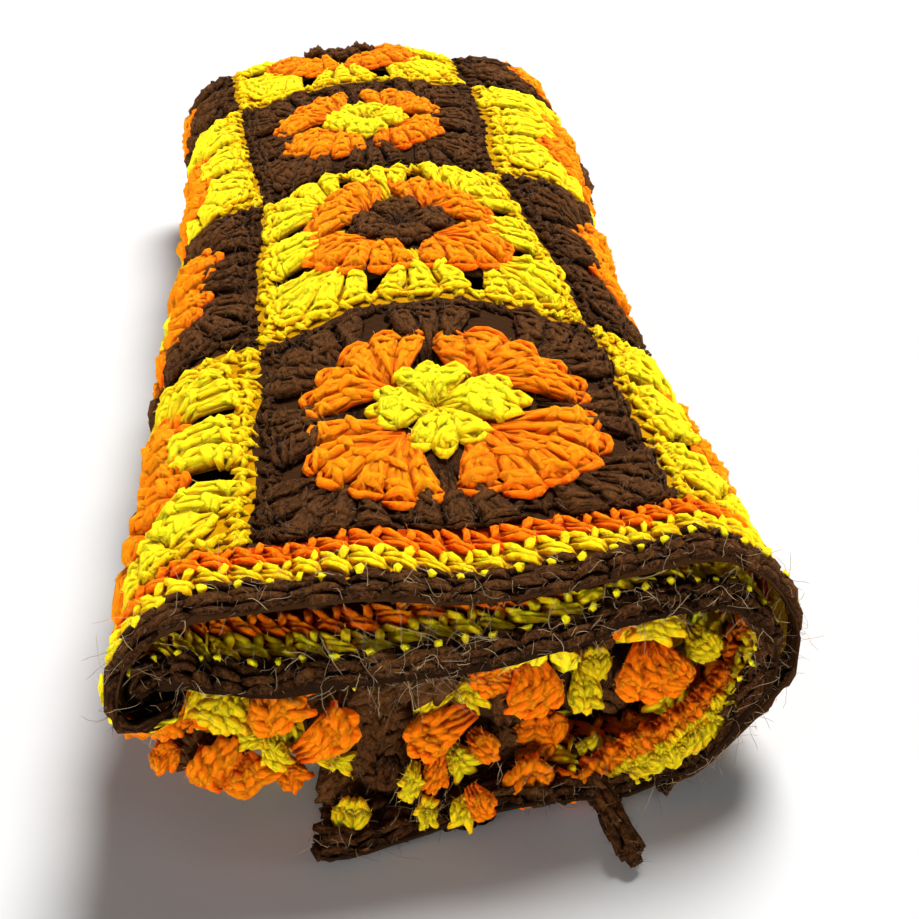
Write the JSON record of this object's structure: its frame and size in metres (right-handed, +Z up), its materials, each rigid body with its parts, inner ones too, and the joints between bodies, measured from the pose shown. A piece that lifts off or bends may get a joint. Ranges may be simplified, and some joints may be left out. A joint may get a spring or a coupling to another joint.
{
  "type": "granny square blanket",
  "caption": "Crocheted granny square blanket, doubled over and loosely rolled, lying on its side edge with its open end showing the inner folds.",
  "frame": {"origin": "centre of the bounding box's bottom face, on the surface that the roll lies on", "axes": "+Y along the roll, from its open end to its far fold; +X to the right seen from the open end; +Z up"},
  "size_m": [0.2016, 0.482, 0.0799],
  "materials": {
    "squares": "matt crocheted yarn in yellow, orange and dark brown",
    "edging": "matt crocheted yarn, rows of orange, yellow and dark brown"
  },
  "bodies": {
    "root": {"squares": "squares", "edging": "edging"}
  },
  "joints": []
}
